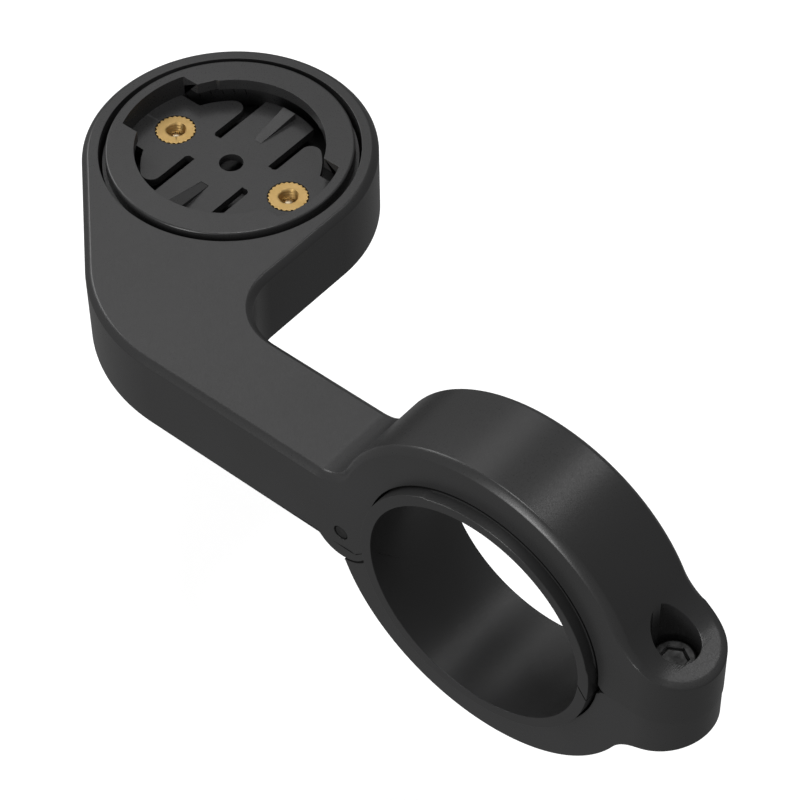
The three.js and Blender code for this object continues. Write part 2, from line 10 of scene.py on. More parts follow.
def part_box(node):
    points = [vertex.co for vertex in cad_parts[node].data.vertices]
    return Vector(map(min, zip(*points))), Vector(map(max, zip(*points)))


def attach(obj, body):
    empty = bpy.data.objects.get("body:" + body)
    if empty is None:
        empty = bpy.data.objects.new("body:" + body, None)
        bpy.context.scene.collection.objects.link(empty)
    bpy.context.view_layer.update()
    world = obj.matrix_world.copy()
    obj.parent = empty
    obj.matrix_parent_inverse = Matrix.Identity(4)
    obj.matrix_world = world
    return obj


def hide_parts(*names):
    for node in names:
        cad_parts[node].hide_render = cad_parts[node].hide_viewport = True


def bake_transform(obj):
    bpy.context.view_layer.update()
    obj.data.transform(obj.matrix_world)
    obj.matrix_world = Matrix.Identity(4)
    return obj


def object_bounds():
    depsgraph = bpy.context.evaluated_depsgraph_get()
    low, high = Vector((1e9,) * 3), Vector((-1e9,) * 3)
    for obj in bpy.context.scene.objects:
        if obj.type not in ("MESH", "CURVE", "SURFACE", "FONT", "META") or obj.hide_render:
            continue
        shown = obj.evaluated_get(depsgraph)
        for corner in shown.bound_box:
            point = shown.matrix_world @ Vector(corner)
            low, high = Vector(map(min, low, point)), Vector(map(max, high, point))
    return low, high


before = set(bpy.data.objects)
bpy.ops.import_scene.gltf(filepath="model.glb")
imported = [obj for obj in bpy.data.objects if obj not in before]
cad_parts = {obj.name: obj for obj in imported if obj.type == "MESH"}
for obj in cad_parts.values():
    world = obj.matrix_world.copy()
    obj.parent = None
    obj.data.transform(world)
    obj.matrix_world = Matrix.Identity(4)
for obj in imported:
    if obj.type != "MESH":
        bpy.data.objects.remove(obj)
CAD_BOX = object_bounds()

# Shapes are written in millimetres, in the CAD model's frame, and scaled when a mesh is made.
MM = 0.001


def box_mm(node):
    """Lowest and highest corner of a CAD node in millimetres."""
    low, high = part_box(node)
    return low / MM, high / MM


# ------------------------------------------------------------------ sizes read from the frame

jaw_low, jaw_high = box_mm("clamp_jaw")
sleeve_low, sleeve_high = box_mm("bar_sleeve")
pin_low, pin_high = box_mm("hinge_pin")
bolt_low, bolt_high = box_mm("clamp_bolt")
washer_low, washer_high = box_mm("bolt_washer")
nut_low, nut_high = box_mm("clamp_nut")
puck_low, puck_high = box_mm("quarter_turn_puck")
insert_low, insert_high = box_mm("threaded_insert_front")
screw_low, screw_high = box_mm("puck_screw_front")

CLAMP_HALF = jaw_high.x
PIN_Y = (pin_low.y + pin_high.y) / 2
PIN_Z = (pin_low.z + pin_high.z) / 2
PIN_RADIUS = (pin_high.y - pin_low.y) / 2
BOLT_Y = (bolt_low.y + bolt_high.y) / 2
HEAD_X = (puck_low.x + puck_high.x) / 2
HEAD_Y = (puck_low.y + puck_high.y) / 2
PUCK_TOP_Z = puck_high.z
PUCK_BOTTOM_Z = puck_low.z
INSERT_OFFSET_Y = (insert_low.y + insert_high.y) / 2 - HEAD_Y
FLOOR_TOP_Z = insert_high.z

# ------------------------------------------------------------------ the mount body's shape

CLAMP_RADIUS = 23.1
SEAT_RADIUS = 17.75
BORE_RADIUS = 15.9
BODY_SPLIT_Z = -1.475
JAW_SPLIT_Z = -1.485
CLAMP_CHAMFER = 0.9
ARM_TOP_Z = 5.5
ARM_BOTTOM_Z = -6.1
ARM_CHAMFER = 0.9
ARM_UNDERSIDE_CHAMFER = 0.15
ARM_OUTER_BEND = 25
ARM_INNER_BEND = 8
ARM_TO_CLAMP_BLEND = 5
HEAD_RADIUS = 20.05
RECESS_RADIUS = 17.75
RECESS_FLOOR_Z = -1.3

BOSS_Y = -23.2
BOSS_EDGE_INSET = 1.05
BOSS_EDGE_DEPTH = 0.22
EAR_REACH = 6.45
COUNTERBORE_RADIUS = 3.05
COUNTERBORE_FLOOR_Z = washer_low.z - 0.05
BOLT_HOLE_RADIUS = 1.75
SCREW_HOLE_RADIUS = 1.75
SCREW_POCKET_RADIUS = 3.05
SCREW_POCKET_TOP_Z = -3.95
NUT_POCKET_FLATS = 5.8

LUG_RADIUS = 4.45
LUG_CLEARANCE = 0.27
KNUCKLE_HALF = 2.2
KNUCKLE_RADIUS = 4.2
KNUCKLE_SIDE_CLEARANCE = 0.3
PIN_GAP = 0.07
LUG_END_GAP = 0.002
JAW_PIN_GAP = 0.25

SOFT_EDGE = 0.12
FINE_EDGE = 0.06
FAR = 60
THREAD_PITCH = 0.5
THREAD_STEP = 0.0625

# A boss's sloping face: its distance from z = 0 at BOSS_Y, its slope, and the radius of the
# hollow blend between it and the clamp ring. The ear's is taken downwards.
BOSS = (6.52, math.radians(15), 9.3)
EAR = (8.0, math.radians(12), 6.0)

# ------------------------------------------------------------------ mesh helpers


def arc(x, y, radius, start, end, step=3.0):
    """Points of an arc from one angle to another in degrees, both ends included."""
    count = max(1, round(abs(end - start) / step))
    angles = [math.radians(start + (end - start) * i / count) for i in range(count + 1)]
    return [(x + radius * math.cos(a), y + radius * math.sin(a)) for a in angles]


def add_mesh(name, points, faces):
    """New object from points in millimetres. Doubled points are merged and faces turned outward."""
    mesh = bpy.data.meshes.new(name)
    mesh.from_pydata([Vector(p) * MM for p in points], [], faces)
    work = bmesh.new()
    work.from_mesh(mesh)
    bmesh.ops.remove_doubles(work, verts=work.verts, dist=1e-7)
    bmesh.ops.recalc_face_normals(work, faces=work.faces)
    work.to_mesh(mesh)
    work.free()
    obj = bpy.data.objects.new(name, mesh)
    bpy.context.scene.collection.objects.link(obj)
    return obj


def skin(name, rings, close_rings=False, caps=True):
    """Surface over rings of equal point count; the ends are capped, or joined to each other."""
    count = len(rings[0])
    points = [p for ring in rings for p in ring]
    faces = []
    last = len(rings) if close_rings else len(rings) - 1
    for r in range(last):
        a = r * count
        b = ((r + 1) % len(rings)) * count
        for i in range(count):
            j = (i + 1) % count
            faces.append((a + i, a + j, b + j, b + i))
    if caps and not close_rings:
        faces.append(tuple(range(count)))
        faces.append(tuple(range((len(rings) - 1) * count, len(rings) * count)))
    return add_mesh(name, points, faces)


def prism_up(name, outline, z0, z1):
    return skin(name, [[(x, y, z) for x, y in outline] for z in (z0, z1)])


def prism_across(name, outline, x0, x1):
    return skin(name, [[(x, y, z) for y, z in outline] for x in (x0, x1)])


def turned(name, rows, origin, axis="Z", segments=96, closed=False):
    """Turned piece. A row is (height, radius), where the radius may be a function of angle
    and height. With closed, the last row joins the first, as in a ring."""
    rings = []
    for height, radius in rows:
        ring = []
        for i in range(segments):
            a = 2 * math.pi * i / segments
            r = radius(a, height) if callable(radius) else radius
            u, v = r * math.cos(a), r * math.sin(a)
            local = (u, v, height) if axis == "Z" else (height, u, v)
            ring.append(tuple(Vector(origin) + Vector(local)))
        rings.append(ring)
    return skin(name, rings, close_rings=closed, caps=False)


def cylinder(radius, low, high, origin, axis="Z", segments=96):
    rows = [(low, 0), (low, radius), (high, radius), (high, 0)]
    return turned("tool", rows, origin, axis, segments)


def combine(obj, tool, operation):
    modifier = obj.modifiers.new("combine", "BOOLEAN")
    modifier.operation = operation
    modifier.solver = "EXACT"
    modifier.object = tool
    bpy.context.view_layer.update()
    graph = bpy.context.evaluated_depsgraph_get()
    made = bpy.data.meshes.new_from_object(obj.evaluated_get(graph))
    obj.modifiers.clear()
    obj.data = made
    bpy.data.objects.remove(tool)
    return obj


def cut(obj, *tools):
    for tool in tools:
        combine(obj, tool, "DIFFERENCE")
    return obj


def dress(obj, edge=SOFT_EDGE, sharp=32, segments=2, leave=None):
    """Cleans the mesh, rounds its sharp edges by `edge` millimetres and shades it smooth.
    `leave` tells from an edge's two ends, in millimetres, whether it stays sharp."""
    mesh = obj.data
    work = bmesh.new()
    work.from_mesh(mesh)
    bmesh.ops.remove_doubles(work, verts=work.verts, dist=0.004 * MM)
    bmesh.ops.dissolve_limit(
        work,
        angle_limit=math.radians(0.4),
        verts=work.verts,
        edges=work.edges,
    )
    bmesh.ops.recalc_face_normals(work, faces=work.faces)
    if edge:
        limit = math.radians(sharp)
        picked = [
            e
            for e in work.edges
            if len(e.link_faces) == 2 and e.calc_face_angle(0) > limit
            and not (leave and leave(e.verts[0].co / MM, e.verts[1].co / MM))
        ]
        bmesh.ops.bevel(
            work,
            geom=picked,
            offset=edge * MM,
            offset_type="OFFSET",
            segments=segments,
            profile=0.5,
            affect="EDGES",
            clamp_overlap=False,
            harden_normals=False,
        )
    work.to_mesh(mesh)
    work.free()
    mesh.shade_smooth()
    mesh.set_sharp_from_angle(angle=math.radians(38 if edge else 30))
    weighted = obj.modifiers.new("weighted normals", "WEIGHTED_NORMAL")
    weighted.keep_sharp = True
    weighted.weight = 50
    return obj


def place(obj, node, body):
    """The piece stands for its CAD node, which it hides, and rides on the body."""
    obj.name = "piece_" + node
    obj.data.name = obj.name
    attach(obj, body)
    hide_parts(node)
    return obj


# ------------------------------------------------------------------ mount body


def crowned_chamfer(steps=4, start=30, end=60):
    """Slightly crowned chamfer as (way out, way down) shares, from (0, 0) to (1, 1)."""
    shares = [(0.0, 0.0)]
    for i in range(steps):
        a = math.radians(start + (end - start) * (i + 0.5) / steps)
        x, h = shares[-1]
        shares.append((x + math.cos(a), h + math.sin(a)))
    total = shares[-1][0]
    return [(x / total, h / total) for x, h in shares]


SECTION = crowned_chamfer()


def blend_centre(boss):
    """Centre of the hollow blend between the ring and a boss's face that falls to the rear."""
    height, slope, radius = boss
    offset = math.sin(-slope) * BOSS_Y + math.cos(slope) * height + radius
    reach = math.sqrt((CLAMP_RADIUS + radius) ** 2 - offset**2)
    return (
        -offset * math.sin(slope) - reach * math.cos(slope),
        offset * math.cos(slope) - reach * math.sin(slope),
    )


def boss_top(y, depth):
    """Height of the boss's top, hollow blend included, at y, taken `depth` below the surface."""
    height, slope, blend = BOSS
    cy, cz = blend_centre(BOSS)
    radius = blend + depth
    if y > cy + radius * math.sin(slope):
        return cz - math.sqrt(radius**2 - (y - cy) ** 2)
    return height + (y - BOSS_Y) * math.tan(slope) - depth / math.cos(slope)


def clamp_side_view():
    """Stations (y, z, normal y, normal z, edge inset, edge depth, shear) along the clamp's top,
    going forward."""
    stations = []
    blend = BOSS[2]
    cy, cz = blend_centre(BOSS)
    start = math.degrees(math.atan2(cz, cy))
    low = -math.degrees(math.acos((BOSS_Y - cy) / blend))
    points = arc(cy, cz, blend, low, start - 180, 3)
    for i, (y, z) in enumerate(points):
        shear = i / (len(points) - 1)
        normal = ((cy - y) / blend, (cz - z) / blend)
        inset = BOSS_EDGE_INSET + (CLAMP_CHAMFER - BOSS_EDGE_INSET) * shear
        depth = BOSS_EDGE_DEPTH + (CLAMP_CHAMFER - BOSS_EDGE_DEPTH) * shear**0.7
        stations.append((y, z, *normal, inset, depth, shear))
    blend_z = ARM_TOP_Z + ARM_TO_CLAMP_BLEND
    blend_y = math.sqrt((CLAMP_RADIUS + ARM_TO_CLAMP_BLEND) ** 2 - blend_z**2)
    front = math.degrees(math.atan2(blend_z, blend_y))
    for y, z in arc(0, 0, CLAMP_RADIUS, start, front, 2.5)[1:]:
        normal = (y / CLAMP_RADIUS, z / CLAMP_RADIUS)
        stations.append((y, z, *normal, CLAMP_CHAMFER, CLAMP_CHAMFER, 1))
    for y, z in arc(blend_y, blend_z, ARM_TO_CLAMP_BLEND, front - 180, -90, 4)[1:]:
        normal = ((blend_y - y) / ARM_TO_CLAMP_BLEND, (blend_z - z) / ARM_TO_CLAMP_BLEND)
        stations.append((y, z, *normal, ARM_CHAMFER, ARM_CHAMFER, 1))
    return stations


def side_station(side, y, z, ny, nz, inset, depth, shear):
    """Column of points down one side of the clamp or the straight arm."""
    column = []
    for out, down in SECTION:
        at_y = y - depth * down * ny * shear
        at_z = z - depth * down * nz if shear == 1 else boss_top(at_y, depth * down)
        column.append((side * (CLAMP_HALF - inset * (1 - out)), at_y, at_z))
    at_y = column[-1][1]
    inner = CLAMP_HALF - ARM_UNDERSIDE_CHAMFER
    column.append((side * CLAMP_HALF, at_y, ARM_BOTTOM_Z + ARM_UNDERSIDE_CHAMFER))
    column.append((side * inner, at_y, ARM_BOTTOM_Z))
    return column


def plan_station(x, y, nx, ny):
    """Column of points down the edge of the arm or head; (nx, ny) points into the body."""
    column = []
    for out, down in SECTION:
        inset = ARM_CHAMFER * (1 - out)
        column.append((x + nx * inset, y + ny * inset, ARM_TOP_Z - ARM_CHAMFER * down))
    inset = ARM_UNDERSIDE_CHAMFER
    column.append((x, y, ARM_BOTTOM_Z + inset))
    column.append((x + nx * inset, y + ny * inset, ARM_BOTTOM_Z))
    return column


def boss_station(degrees):
    """Column of points down the boss's round end."""
    cos, sin = math.cos(math.radians(degrees)), math.sin(math.radians(degrees))
    column = []
    for out, down in SECTION:
        r = CLAMP_HALF - BOSS_EDGE_INSET * (1 - out)
        y = BOSS_Y + r * sin
        column.append((r * cos, y, boss_top(y, BOSS_EDGE_DEPTH * down)))
    column.append(
        (CLAMP_HALF * cos, BOSS_Y + CLAMP_HALF * sin, ARM_BOTTOM_Z + ARM_UNDERSIDE_CHAMFER)
    )
    r = CLAMP_HALF - ARM_UNDERSIDE_CHAMFER
    column.append((r * cos, BOSS_Y + r * sin, ARM_BOTTOM_Z))
    return column


def plan_arc(x, y, radius, start, end, inward, step=2.5):
    """Columns along an arc of the plan; inward is -1 towards its centre, 1 away from it."""
    columns = []
    for px, py in arc(x, y, radius, start, end, step):
        columns.append(
            plan_station(px, py, inward * (px - x) / radius, inward * (py - y) / radius)
        )
    return columns


def body_blank():
    """Arm, head and clamp as one closed skin, before anything is cut out of it."""
    sides = clamp_side_view()
    right = [side_station(1, *s) for s in sides]
    left = [side_station(-1, *s) for s in reversed(sides)]
    outer_x = ARM_OUTER_BEND - CLAMP_HALF
    tangent = (HEAD_Y - HEAD_X) / math.sqrt(2) + HEAD_RADIUS
    outer_y = (tangent - ARM_OUTER_BEND) * math.sqrt(2) + outer_x
    inner_x = CLAMP_HALF + ARM_INNER_BEND
    inner_y = HEAD_Y - HEAD_RADIUS - ARM_INNER_BEND
    front = (
        plan_arc(inner_x, inner_y, ARM_INNER_BEND, 180, 90, 1, 3)
        + plan_arc(HEAD_X, HEAD_Y, HEAD_RADIUS, -90, 135, -1)
        + plan_arc(outer_x, outer_y, ARM_OUTER_BEND, 135, 180, -1)
    )
    boss = [boss_station(180 + 3 * i) for i in range(1, 60)]
    columns = right + front + left + boss
    depth = len(columns[0])
    count = len(columns)
    points = [p for column in columns for p in column]
    faces = []
    for i in range(count):
        j = (i + 1) % count
        for k in range(depth - 1):
            a, b = i * depth + k, j * depth + k
            faces.append((a, a + 1, b + 1, b))
    top = [i * depth for i in range(count)]
    n = len(right)
    left_first = n + len(front)
    for i in range(n - 1):
        a, b = top[i], top[i + 1]
        c, d = top[left_first + n - 2 - i], top[left_first + n - 1 - i]
        faces.append((a, b, c, d))
    faces.append(tuple(top[n - 1 : left_first + 1]))
    ends = [top[left_first + n - 1]] + top[left_first + n :] + [top[0]]
    while len(ends) > 3:
        faces.append((ends[0], ends[1], ends[-2], ends[-1]))
        ends = ends[1:-1]
    faces.append(tuple(ends))
    faces.append(tuple(i * depth + depth - 1 for i in range(count)))
    return add_mesh("mount_body", points, faces)


def split_relief():
    """Rounded arrowhead that opens the split's inner corner at the seat."""
    middle = (BODY_SPLIT_Z + JAW_SPLIT_Z) / 2
    tip = -SEAT_RADIUS - 1.2
    upper = arc(tip, middle + 1.15, 1.15, -90, -25, 8)
    lower = [(y, 2 * middle - z) for y, z in reversed(upper)]
    mouth = -SEAT_RADIUS + 0.6
    outline = lower + upper[1:] + [(mouth, middle + 1.3), (mouth, middle - 1.3)]
    return prism_across("tool", outline, -FAR, FAR)


def at_split(a, b):
    """Edges of the split between body and jaw stay sharp, so the closed split is a hairline."""
    return max(abs(p.z - (BODY_SPLIT_Z + JAW_SPLIT_Z) / 2) for p in (a, b)) < 0.02


def make_mount_body():
    body = body_blank()
    below = [
        (-FAR, BODY_SPLIT_Z),
        (17.6, BODY_SPLIT_Z),
        (17.6, PIN_Z),
        (17.7, PIN_Z - 0.05),
        (18.2, PIN_Z - 1.05),
        (20.5, PIN_Z - 3.05),
        (PIN_Y, PIN_Z - 3.5),
        (PIN_Y, -FAR),
        (-FAR, -FAR),
    ]
    bore = [
        (-FAR, 0),
        (-FAR, BOLT_HOLE_RADIUS),
        (COUNTERBORE_FLOOR_Z, BOLT_HOLE_RADIUS),
        (COUNTERBORE_FLOOR_Z, COUNTERBORE_RADIUS),
        (FAR, COUNTERBORE_RADIUS),
        (FAR, 0),
    ]
    cut(body, turned("tool", bore, (0, BOLT_Y, 0)), prism_across("tool", below, -FAR, FAR))
    end = CLAMP_HALF - LUG_END_GAP
    lug = cylinder(LUG_RADIUS, -end, end, (0, PIN_Y, PIN_Z), "X", 120)
    combine(body, lug, "UNION")
    slot_half = KNUCKLE_HALF + KNUCKLE_SIDE_CLEARANCE
    slot_radius = LUG_RADIUS + 2 * LUG_CLEARANCE
    slot = arc(PIN_Y, PIN_Z, slot_radius, -90, 180, 4) + [(15, PIN_Z), (15, -15), (PIN_Y, -15)]
    cut(
        body,
        cylinder(SEAT_RADIUS, -FAR, FAR, (0, 0, 0), "X", 200),
        split_relief(),
        prism_across("tool", slot, -slot_half, slot_half),
        cylinder(PIN_RADIUS + PIN_GAP, -FAR, FAR, (0, PIN_Y, PIN_Z), "X", 48),
        cylinder(RECESS_RADIUS, RECESS_FLOOR_Z, FAR, (HEAD_X, HEAD_Y, 0), segments=200),
    )
    screw_hole = [
        (-FAR, 0), (-FAR, SCREW_POCKET_RADIUS), (SCREW_POCKET_TOP_Z, SCREW_POCKET_RADIUS),
        (SCREW_POCKET_TOP_Z, SCREW_HOLE_RADIUS), (FAR, SCREW_HOLE_RADIUS), (FAR, 0),
    ]
    for side in (-1, 1):
        at = (HEAD_X, HEAD_Y + side * INSERT_OFFSET_Y, 0)
        cut(body, turned("tool", screw_hole, at))
    return place(dress(body, leave=at_split), "mount_body", "mount")


# ------------------------------------------------------------------ jaw


def make_jaw():
    height, slope, blend = EAR
    cy, cz = blend_centre(EAR)
    start = math.degrees(math.atan2(cz, cy))
    front = math.degrees(math.asin(-PIN_Z / CLAMP_RADIUS))
    end_y = BOSS_Y - CLAMP_HALF - 1
    end_z = height + (end_y - BOSS_Y) * math.tan(slope)
    under = arc(0, 0, CLAMP_RADIUS, front, start, 2.5)
    under += arc(cy, cz, blend, start - 180, math.degrees(slope) - 90, 4)[1:]
    under.append((end_y, end_z))
    outline = [(y, -z) for y, z in under]
    outline += [
        (end_y, JAW_SPLIT_Z),
        (SEAT_RADIUS - 2, JAW_SPLIT_Z),
        (SEAT_RADIUS - 1, PIN_Z),
        (PIN_Y - 1, PIN_Z),
    ]
    jaw = prism_across("clamp_jaw", outline, -CLAMP_HALF, CLAMP_HALF)
    wide = CLAMP_HALF + 1
    rings = []
    for z in (-FAR, FAR):
        ring = [(x * CLAMP_HALF, BOSS_Y + y * EAR_REACH) for x, y in arc(0, 0, 1, 180, 360, 3)]
        ring += [(wide, BOSS_Y + 1), (wide, FAR), (-wide, FAR), (-wide, BOSS_Y + 1)]
        rings.append([(x, y, z) for x, y in ring])
    combine(jaw, skin("tool", rings), "INTERSECT")
    for side in (-1, 1):
        low, high = sorted((side * KNUCKLE_HALF, side * FAR))
        cut(jaw, cylinder(LUG_RADIUS + LUG_CLEARANCE, low, high, (0, PIN_Y, PIN_Z), "X", 120))
    knuckle = cylinder(KNUCKLE_RADIUS, -KNUCKLE_HALF, KNUCKLE_HALF, (0, PIN_Y, PIN_Z), "X", 120)
    combine(jaw, knuckle, "UNION")
    cut(
        jaw,
        cylinder(SEAT_RADIUS, -FAR, FAR, (0, 0, 0), "X", 200),
        split_relief(),
        cylinder(PIN_RADIUS + JAW_PIN_GAP, -FAR, FAR, (0, PIN_Y, PIN_Z), "X", 48),
        cylinder(BOLT_HOLE_RADIUS, -FAR, FAR, (0, BOLT_Y, 0), segments=48),
        turned(
            "tool", hex_rows(NUT_POCKET_FLATS, -FAR, nut_high.z + 0.05), (0, BOLT_Y, 0), segments=72
        ),
    )
    return place(dress(jaw, leave=at_split), "clamp_jaw", "jaw")


# ------------------------------------------------------------------ turned pieces


def hexagon(flats):
    """Radius of a hexagon by angle."""
    half = flats / 2

    def radius(angle, _height):
        return half / math.cos((angle % (math.pi / 3)) - math.pi / 6)

    return radius


def hex_rows(flats, low, high):
    return [(low, 0), (low, hexagon(flats)), (high, hexagon(flats)), (high, 0)]


def thread(mean, depth, pitch, soft=0.0):
    """Radius of a right-hand thread by angle and height; `soft` flattens its crests and roots."""

    def radius(angle, height):
        turn = (height / pitch - angle / (2 * math.pi)) % 1
        wave = abs(2 * turn - 1) * 2 - 1
        limit = 1 - soft
        return mean + depth / 2 * max(-limit, min(limit, wave))

    return radius


def thread_rows(radius, start, end, step):
    count = max(1, round(abs(end - start) / step))
    return [(start + (end - start) * i / count, radius) for i in range(count + 1)]


def make_bolt():
    """Socket-head bolt: the head's crown and a shallow hexagon socket, a plain neck, a thread."""
    top = bolt_high.z
    seat = washer_high.z + 0.05
    tip = bolt_low.z
    head, crown, socket = 2.68, 0.35, 3.0
    run = thread(1.36, 0.26, THREAD_PITCH, 0.2)
    rows = [(tip, 0), (tip, 0.95), (tip + 0.25, 1.2)]
    rows += thread_rows(run, tip + 0.3, seat - 0.9, THREAD_STEP)
    rows += [(seat - 0.85, 1.4), (seat - 0.15, 1.4), (seat, 1.55)]
    rows += [(seat, 2.55), (seat + 0.12, head), (top - crown, head)]
    for a in (math.radians(d) for d in (23, 46, 69, 90)):
        rows.append((top - crown + crown * math.sin(a), head - crown + crown * math.cos(a)))
    rows += [(top, 2.0), (top, hexagon(socket + 0.3)), (top - 0.14, hexagon(socket))]
    rows += [(top - 0.62, hexagon(socket)), (top - 0.66, hexagon(socket - 0.1)), (top - 0.74, 0)]
    bolt = turned("clamp_bolt", rows, (0, BOLT_Y, 0), segments=72)
    return place(dress(bolt, 0), "clamp_bolt", "bolt")


def make_washer():
    low, high = washer_low.z, washer_high.z
    hole, rim, edge = 1.6, 2.9, 0.1
    rows = [
        (low, 1.68), (low, rim - edge), (low + edge, rim), (high - edge, rim),
        (high, rim - edge), (high, 1.68), (high - 0.08, hole), (low + 0.08, hole),
    ]
    washer = turned("bolt_washer", rows, (0, BOLT_Y, 0), segments=96, closed=True)
    return place(dress(washer, 0), "bolt_washer", "bolt_carrier")


def make_nut():
    low, high = nut_low.z, nut_high.z
    across = 5.5
    flats = hexagon(across)
    step = 0.12

    def crowned(angle, height):
        room = min(height - low, high - height)
        return min(flats(angle, height), across / 2 + room * 1.7)

    run = thread(1.42, 0.2, THREAD_PITCH)
    outside = [(low, crowned)] + [(low + step * i, crowned) for i in (1, 2, 3)]
    outside += [(high - step * i, crowned) for i in (3, 2, 1)] + [(high, crowned)]
    inside = [(high, 1.75)] + thread_rows(run, high - 0.2, low + 0.2, THREAD_STEP) + [(low, 1.75)]
    nut = turned("clamp_nut", outside + inside, (0, BOLT_Y, 0), segments=96, closed=True)
    return place(dress(nut, 0), "clamp_nut", "jaw")


def make_pin():
    end = pin_high.x
    rounding = [(0.0, 0.2), (0.06, 0.06), (0.2, 0.0)]
    rows = [(-end, 0)] + [(-end + down, PIN_RADIUS - back) for down, back in rounding]
    rows += [(end - down, PIN_RADIUS - back) for down, back in reversed(rounding)] + [(end, 0)]
    pin = turned("hinge_pin", rows, (0, PIN_Y, PIN_Z), "X", 48)
    return place(dress(pin, 0), "hinge_pin", "mount")


def make_insert(side, where):
    """Brass insert with a knurled rim, a plain groove round its middle and a threaded hole."""
    bottom = insert_low.z
    top = insert_high.z
    radius = (insert_high.x - insert_low.x) / 2
    teeth = 24
    mouth = 1.5

    def knurl(shrink):
        def at(angle, _height):
            return radius - shrink - 0.1 * (1 - math.cos(angle * teeth))

        return at

    rows = [(bottom, 2.2), (bottom + 0.2, knurl(0.15)), (bottom + 1.2, knurl(0))]
    rows += [(bottom + 1.3, 2.3), (bottom + 1.9, 2.3), (bottom + 2.0, knurl(0))]
    rows += [(top - 0.08, knurl(0)), (top - 0.02, knurl(0.04)), (top, knurl(0.14)), (top, mouth)]
    rows += thread_rows(thread(1.32, 0.22, THREAD_PITCH, 0.1), top - 0.1, bottom + 0.2, 0.05)
    rows += [(bottom, mouth)]
    at = (HEAD_X, HEAD_Y + side * INSERT_OFFSET_Y, 0)
    insert = turned("insert", rows, at, segments=192, closed=True)
    return place(dress(insert, 0), "threaded_insert_" + where, "mount")


def make_screw(side, where):
    """Socket-head screw that comes up from below; its domed tip shows inside the insert."""
    bottom = screw_low.z
    tip = screw_high.z
    head_top = bottom + 1.9
    socket, head = 2.0, 2.75
    rows = [(bottom + 1.3, 0), (bottom + 1.0, hexagon(1.9)), (bottom + 0.95, hexagon(socket))]
    rows += [(bottom + 0.2, hexagon(socket)), (bottom, hexagon(2.3)), (bottom, 1.7), (bottom, 2.45)]
    rows += [(bottom + 0.1, 2.65), (bottom + 0.3, head), (head_top - 0.1, head), (head_top, 2.65)]
    rows += [(head_top, 1.15), (head_top + 1.0, 1.12)]
    run = thread(1.08, 0.16, THREAD_PITCH, 0.1)
    rows += thread_rows(run, head_top + 1.05, tip - 0.5, THREAD_STEP)
    dome = [math.radians(d) for d in (15, 30, 45, 60, 75, 90)]
    rows += [(tip - 0.45 + 0.45 * math.sin(a), 1.05 * math.cos(a)) for a in dome]
    at = (HEAD_X, HEAD_Y + side * INSERT_OFFSET_Y, 0)
    screw = turned("screw", rows, at, segments=72)
    return place(dress(screw, 0), "puck_screw_" + where, "mount")


# ------------------------------------------------------------------ sleeve


def make_sleeve():
    """Split ring with a slanting slit; part of its near rim is turned down a little. Angles are
    in degrees from +Y over the top: the slit's ends, and where the turned-down part runs."""
    bore, outer = BORE_RADIUS, (sleeve_high.z - sleeve_low.z) / 2
    near, far = sleeve_low.x, sleeve_high.x
    slit_in, slit_out = 182.2, 188.6
    low_from, low_to = 64.7, 172.6
    slit_half_width = 0.13
    edge = 0.14
    steps = 180

    def section(rim):
        return [
            (near, bore + edge), (near, rim - edge), (near + 0.3 * edge, rim - 0.3 * edge),
            (near + edge, rim), (-CLAMP_HALF, rim), (-CLAMP_HALF + 0.02, outer),
            (far - edge, outer), (far - 0.3 * edge, outer - 0.3 * edge), (far, outer - edge),
            (far, bore + edge), (far - 0.3 * edge, bore + 0.3 * edge), (far - edge, bore),
            (near + edge, bore), (near + 0.3 * edge, bore + 0.3 * edge),
        ]

    def ring(share, rim):
        points = []
        for x, r in section(rim):
            slit = slit_in + (slit_out - slit_in) * (r - bore) / (outer - bore)
            half = math.degrees(slit_half_width / r)
            a = math.radians(slit + half + (360 - 2 * half) * share)
            points.append((x, r * math.cos(a), r * math.sin(a)))
        return points

    low_rim, full_rim = outer - 0.2, outer - 0.005
    first, last = (low_from + 360 - slit_out) / 360, (low_to + 360 - slit_out) / 360
    rings = []
    for i in range(steps + 1):
        share = i / steps
        rings.append(ring(share, low_rim if first < share < last else full_rim))
    return place(dress(skin("bar_sleeve", rings), 0), "bar_sleeve", "mount")


# ------------------------------------------------------------------ quarter-turn puck

PUCK_RADIUS = 16.85
SKIRT_RADIUS = (puck_high.x - puck_low.x) / 2
SKIRT_TOP_Z = 3.7
PUCK_ROUNDING = 0.3
LIP_RADIUS = 12.95
LIP_UNDERSIDE_Z = PUCK_TOP_Z - 1.75
POCKET_RADIUS = 15.35
NOTCH_HALF = 6.05
FLOOR_BOTTOM_Z = FLOOR_TOP_Z - 1.2
FLOOR_RADIUS = 12.35
GAP_START_X = 5.7
SLOT_Y = 5.0
SLOT_HALF = 0.65
SLOT_INNER_X = 3.2
TONGUE_ROOT_X = 2.7
ROOT_FACE_X = 2.6
TONGUE_TIP_RADIUS = 12.8
CENTRE_HOLE_RADIUS = 1.65
INSERT_BOSS_RADIUS = 4.1
INSERT_HOLE_RADIUS = 2.82
HEAD_CENTRE = (HEAD_X, HEAD_Y, 0)


def about_head(outline, mirror=1):
    """Moves an outline drawn about the head's centre into place; mirror -1 turns it half way."""
    return [(HEAD_X + mirror * x, HEAD_Y + mirror * y) for x, y in outline]


